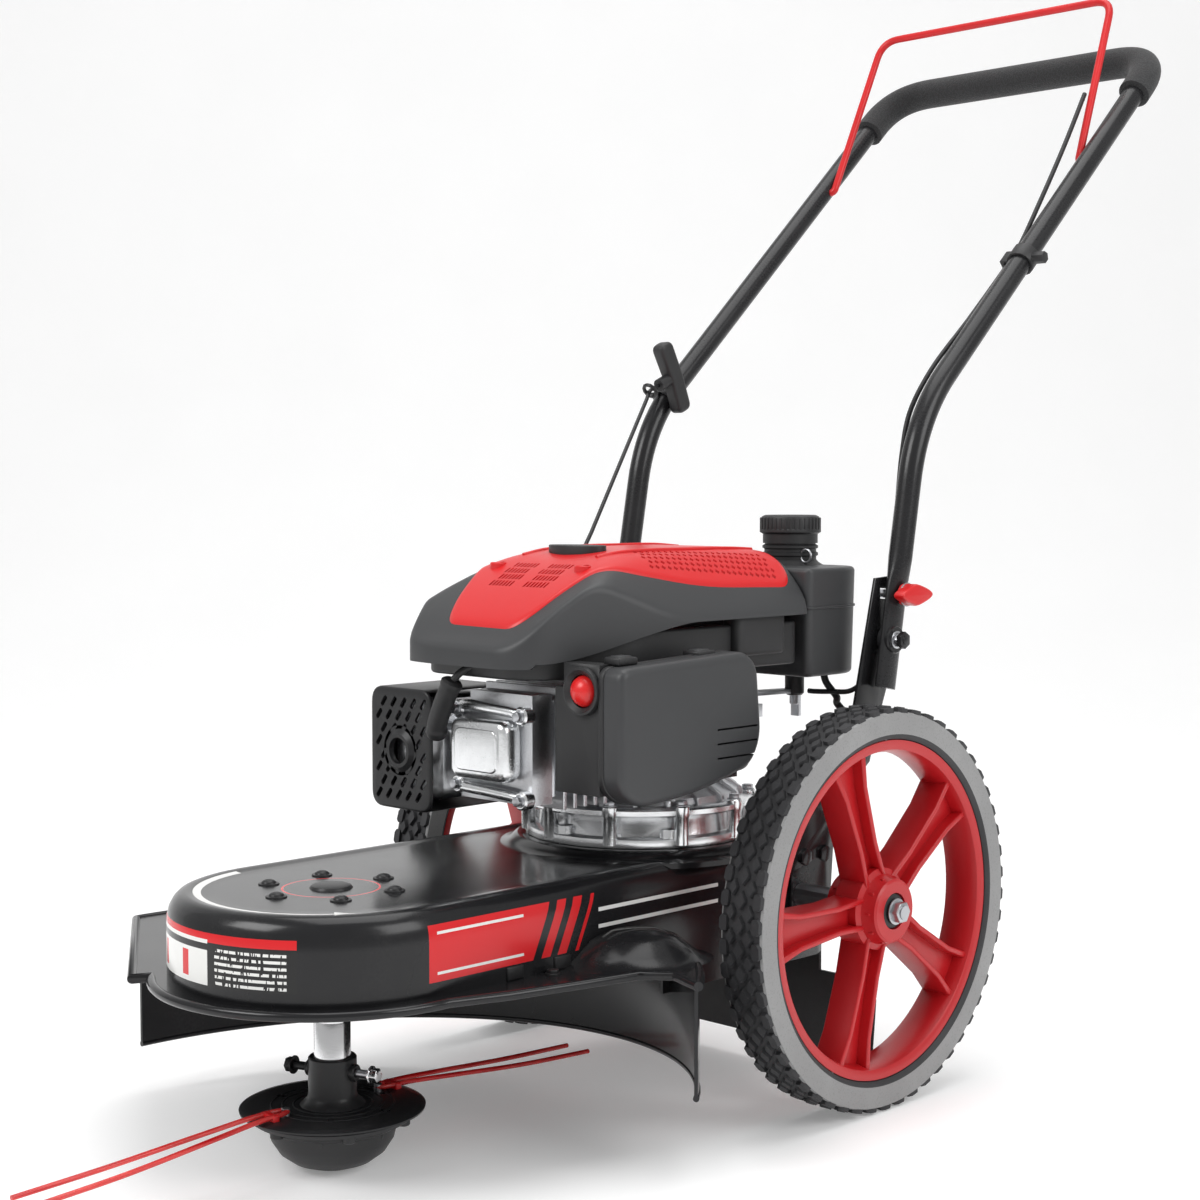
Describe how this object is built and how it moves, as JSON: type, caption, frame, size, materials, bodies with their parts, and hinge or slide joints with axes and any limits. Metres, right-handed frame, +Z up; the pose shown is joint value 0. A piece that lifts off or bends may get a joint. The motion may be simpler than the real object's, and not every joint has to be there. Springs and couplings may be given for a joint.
{
  "type": "walk-behind string trimmer",
  "caption": "Two-wheeled walk-behind petrol string trimmer with a belt-driven line head under a pressed deck, line guard, folding handle, brake bail and recoil starter.",
  "frame": {"origin": "on the ground under the middle of the machine's bounding box", "axes": "+X towards the machine's left (the engine's intake side), +Y from the line head back to the handle, +Z up"},
  "size_m": [0.5336, 1.2728, 1.0617],
  "materials": {
    "gloss_black": "gloss powder coat",
    "gloss_black_tube": "satin gloss powder coat",
    "black_steel": "satin black paint",
    "red_wire": "red powder coat",
    "zinc_steel": "zinc plated",
    "machined_steel": "machined",
    "chrome": "polished",
    "cast_alloy": "die cast",
    "red_plastic": "semi gloss",
    "red_rim": "moulded, semi gloss",
    "grey_plastic": "fine grained",
    "black_plastic": "fine grained",
    "rubber": "matt",
    "red_rubber": "smooth",
    "tyre": "grey side band, black tread",
    "red_nylon": "translucent line",
    "foam": "closed-cell foam",
    "filter_paper": "pleated paper",
    "rope": "braided cord"
  },
  "bodies": {
    "chassis": {"deck_shell": "gloss_black", "string_guard": "black_plastic", "rear_flap": "rubber", "flap_strip": "gloss_black", "axle": "zinc_steel", "handle_bracket_left": "gloss_black", "handle_bracket_right": "gloss_black", "axle_nut_left": "zinc_steel", "axle_nut_right": "zinc_steel", "spindle_housing": "cast_alloy", "spindle_bearing": "machined_steel", "belt": "rubber", "idler_spring": "zinc_steel", "sump": "cast_alloy", "cylinder_block": "cast_alloy", "cylinder_head": "cast_alloy", "valve_cover": "cast_alloy", "spark_plug": "machined_steel", "muffler": "zinc_steel", "muffler_guard": "black_steel", "engine_shroud": "grey_plastic", "top_cover": "red_plastic", "fuel_tank": "grey_plastic", "intake_housing": "grey_plastic", "air_filter": "filter_paper", "brake_cable": "black_plastic", "starter_rope": "rope"},
    "wheel_left": {"rim_left": "red_rim", "tyre_left": "tyre", "hub_bush_left": "black_plastic"},
    "wheel_right": {"rim_right": "red_rim", "tyre_right": "tyre", "hub_bush_right": "black_plastic"},
    "line_head": {"spindle_shaft": "chrome", "driven_pulley": "zinc_steel", "head_collar": "black_steel", "cutting_disc": "black_steel", "line_bowl": "black_plastic", "line_front": "red_nylon", "line_rear": "red_nylon"},
    "crank": {"crankshaft": "machined_steel", "drive_pulley": "zinc_steel", "flywheel": "cast_alloy"},
    "starter_reel": {"starter_pulley": "black_plastic"},
    "starter_grip": {"starter_handle": "black_plastic"},
    "belt_tensioner": {"idler_arm": "zinc_steel"},
    "tensioner_wheel": {"idler_pulley": "zinc_steel"},
    "handle": {"handle_tube": "gloss_black_tube", "foam_grip": "foam", "cable_clamp": "black_plastic", "rope_guide": "black_steel"},
    "bail_lever": {"bail": "red_wire"},
    "brake_arm": {"brake_lever": "zinc_steel"},
    "clamp_knob_left": {"knob_left": "red_plastic"},
    "clamp_knob_right": {"knob_right": "red_plastic"},
    "tank_cap": {"fuel_cap": "black_plastic"},
    "oil_dipstick": {"dipstick": "black_plastic"},
    "primer": {"primer_bulb": "red_rubber"},
    "plug_boot": {"spark_boot": "rubber"},
    "filter_cover": {"air_filter_cover": "grey_plastic"}
  },
  "joints": [
    {"name": "wheel_left_spin", "type": "hinge", "parent": "chassis", "child": "wheel_left", "pos_m": [0.2282, 0.07579, 0.178], "axis": [1, 0, 0], "continuous": true},
    {"name": "wheel_right_spin", "type": "hinge", "parent": "chassis", "child": "wheel_right", "pos_m": [-0.1938, 0.07579, 0.178], "axis": [1, 0, 0], "continuous": true},
    {"name": "crank_spin", "type": "hinge", "parent": "chassis", "child": "crank", "pos_m": [0.0372, -0.01921, 0.3], "axis": [0, 0, 1], "continuous": true},
    {"name": "head_spin", "type": "hinge", "parent": "chassis", "child": "line_head", "pos_m": [0.0172, -0.35621, 0.12], "axis": [0, 0, 1], "continuous": true},
    {"name": "handle_fold", "type": "hinge", "parent": "chassis", "child": "handle", "pos_m": [0.0172, 0.15579, 0.408], "axis": [-1, 0, 0], "range_deg": [0, 75], "deforming": ["brake_cable", "starter_rope"]},
    {"name": "knob_left_turn", "type": "hinge", "parent": "handle", "child": "clamp_knob_left", "pos_m": [0.1896, 0.16348, 0.44929], "axis": [1, 0, 0], "range_deg": [0, 720]},
    {"name": "knob_right_turn", "type": "hinge", "parent": "handle", "child": "clamp_knob_right", "pos_m": [-0.1552, 0.16348, 0.44929], "axis": [-1, 0, 0], "range_deg": [0, 720]},
    {"name": "bail_squeeze", "type": "hinge", "parent": "handle", "child": "bail_lever", "pos_m": [0.0172, 0.48879, 0.88], "axis": [-1, 0, 0], "range_deg": [0, 14], "stiffness_Nm_per_rad": 2, "springref_deg": -17.19, "deforming": ["brake_cable"]},
    {"name": "brake_arm_turn", "type": "hinge", "parent": "chassis", "child": "brake_arm", "pos_m": [0.0872, 0.07079, 0.357], "axis": [0, 0, -1], "range_deg": [0, 21]},
    {"name": "starter_pull", "type": "slide", "parent": "handle", "child": "starter_grip", "axis": [0, 0.9093, 0.4161], "range_m": [0, 0.6], "stiffness_N_per_m": 10, "springref_m": -0.4, "deforming": ["starter_rope"]},
    {"name": "starter_reel_spin", "type": "hinge", "parent": "chassis", "child": "starter_reel", "pos_m": [0.0372, -0.01921, 0.432], "axis": [0, 0, 1], "range_deg": [0, 1280]},
    {"name": "tensioner_swing", "type": "hinge", "parent": "chassis", "child": "belt_tensioner", "pos_m": [-0.0435, -0.0948, 0.187], "axis": [0, 0, -1], "range_deg": [0, 12], "stiffness_Nm_per_rad": 2, "springref_deg": -17.19, "deforming": ["idler_spring"]},
    {"name": "tensioner_wheel_spin", "type": "hinge", "parent": "belt_tensioner", "child": "tensioner_wheel", "pos_m": [-0.0315, -0.1568, 0.178], "axis": [0, 0, 1], "continuous": true},
    {"name": "cap_turn", "type": "hinge", "parent": "chassis", "child": "tank_cap", "pos_m": [0.0772, 0.14779, 0.5], "axis": [0, 0, 1], "range_deg": [0, 360]},
    {"name": "dipstick_lift", "type": "slide", "parent": "chassis", "child": "oil_dipstick", "axis": [0, 0, 1], "range_m": [0, 0.055]},
    {"name": "primer_press", "type": "slide", "parent": "chassis", "child": "primer", "axis": [0, 1, 0], "range_m": [0, 0.007], "stiffness_N_per_m": 600},
    {"name": "boot_pull", "type": "slide", "parent": "chassis", "child": "plug_boot", "axis": [0, -1, 0], "range_m": [0, 0.03]},
    {"name": "filter_cover_pull", "type": "slide", "parent": "chassis", "child": "filter_cover", "axis": [1, 0, 0], "range_m": [0, 0.05]}
  ],
  "couplings": [
    {"joint": "head_spin", "follows": "crank_spin", "ratio": 0.4264},
    {"joint": "starter_reel_spin", "follows": "starter_pull", "rad_per_m": 37},
    {"joint": "brake_arm_turn", "follows": "bail_squeeze", "ratio": 1.5}
  ]
}
